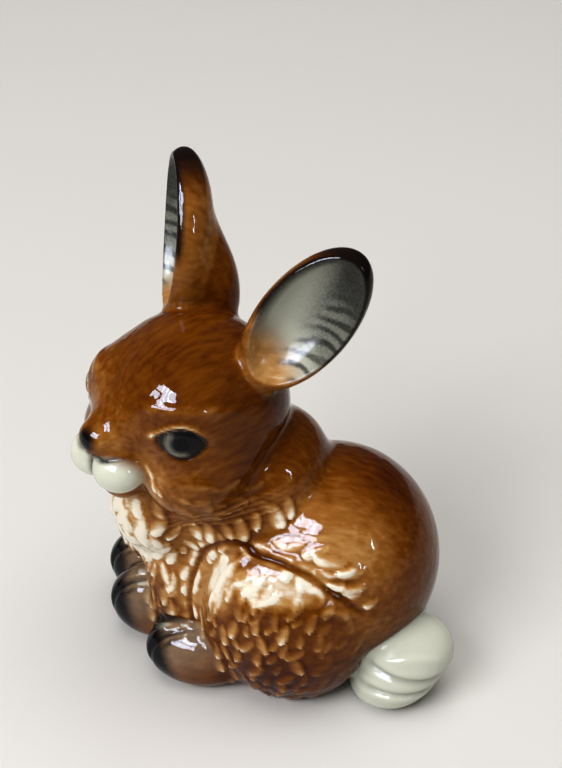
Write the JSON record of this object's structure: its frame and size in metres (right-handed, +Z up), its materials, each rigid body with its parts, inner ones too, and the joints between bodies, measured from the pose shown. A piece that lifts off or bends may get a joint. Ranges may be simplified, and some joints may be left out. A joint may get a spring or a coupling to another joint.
{
  "type": "hare figurine",
  "caption": "Small glazed ceramic figurine of a young hare sitting with its head turned and its ears up, free standing on a flat underside.",
  "frame": {"origin": "middle of the figure's bounding box, on its flat underside", "axes": "+Z up, -Y the way the body faces, +X the hare's left"},
  "size_m": [0.0436, 0.0622, 0.0813],
  "materials": {
    "glazed_ceramic": "glossy brown glaze over a white body"
  },
  "bodies": {
    "root": {"hare": "glazed_ceramic"}
  },
  "joints": []
}
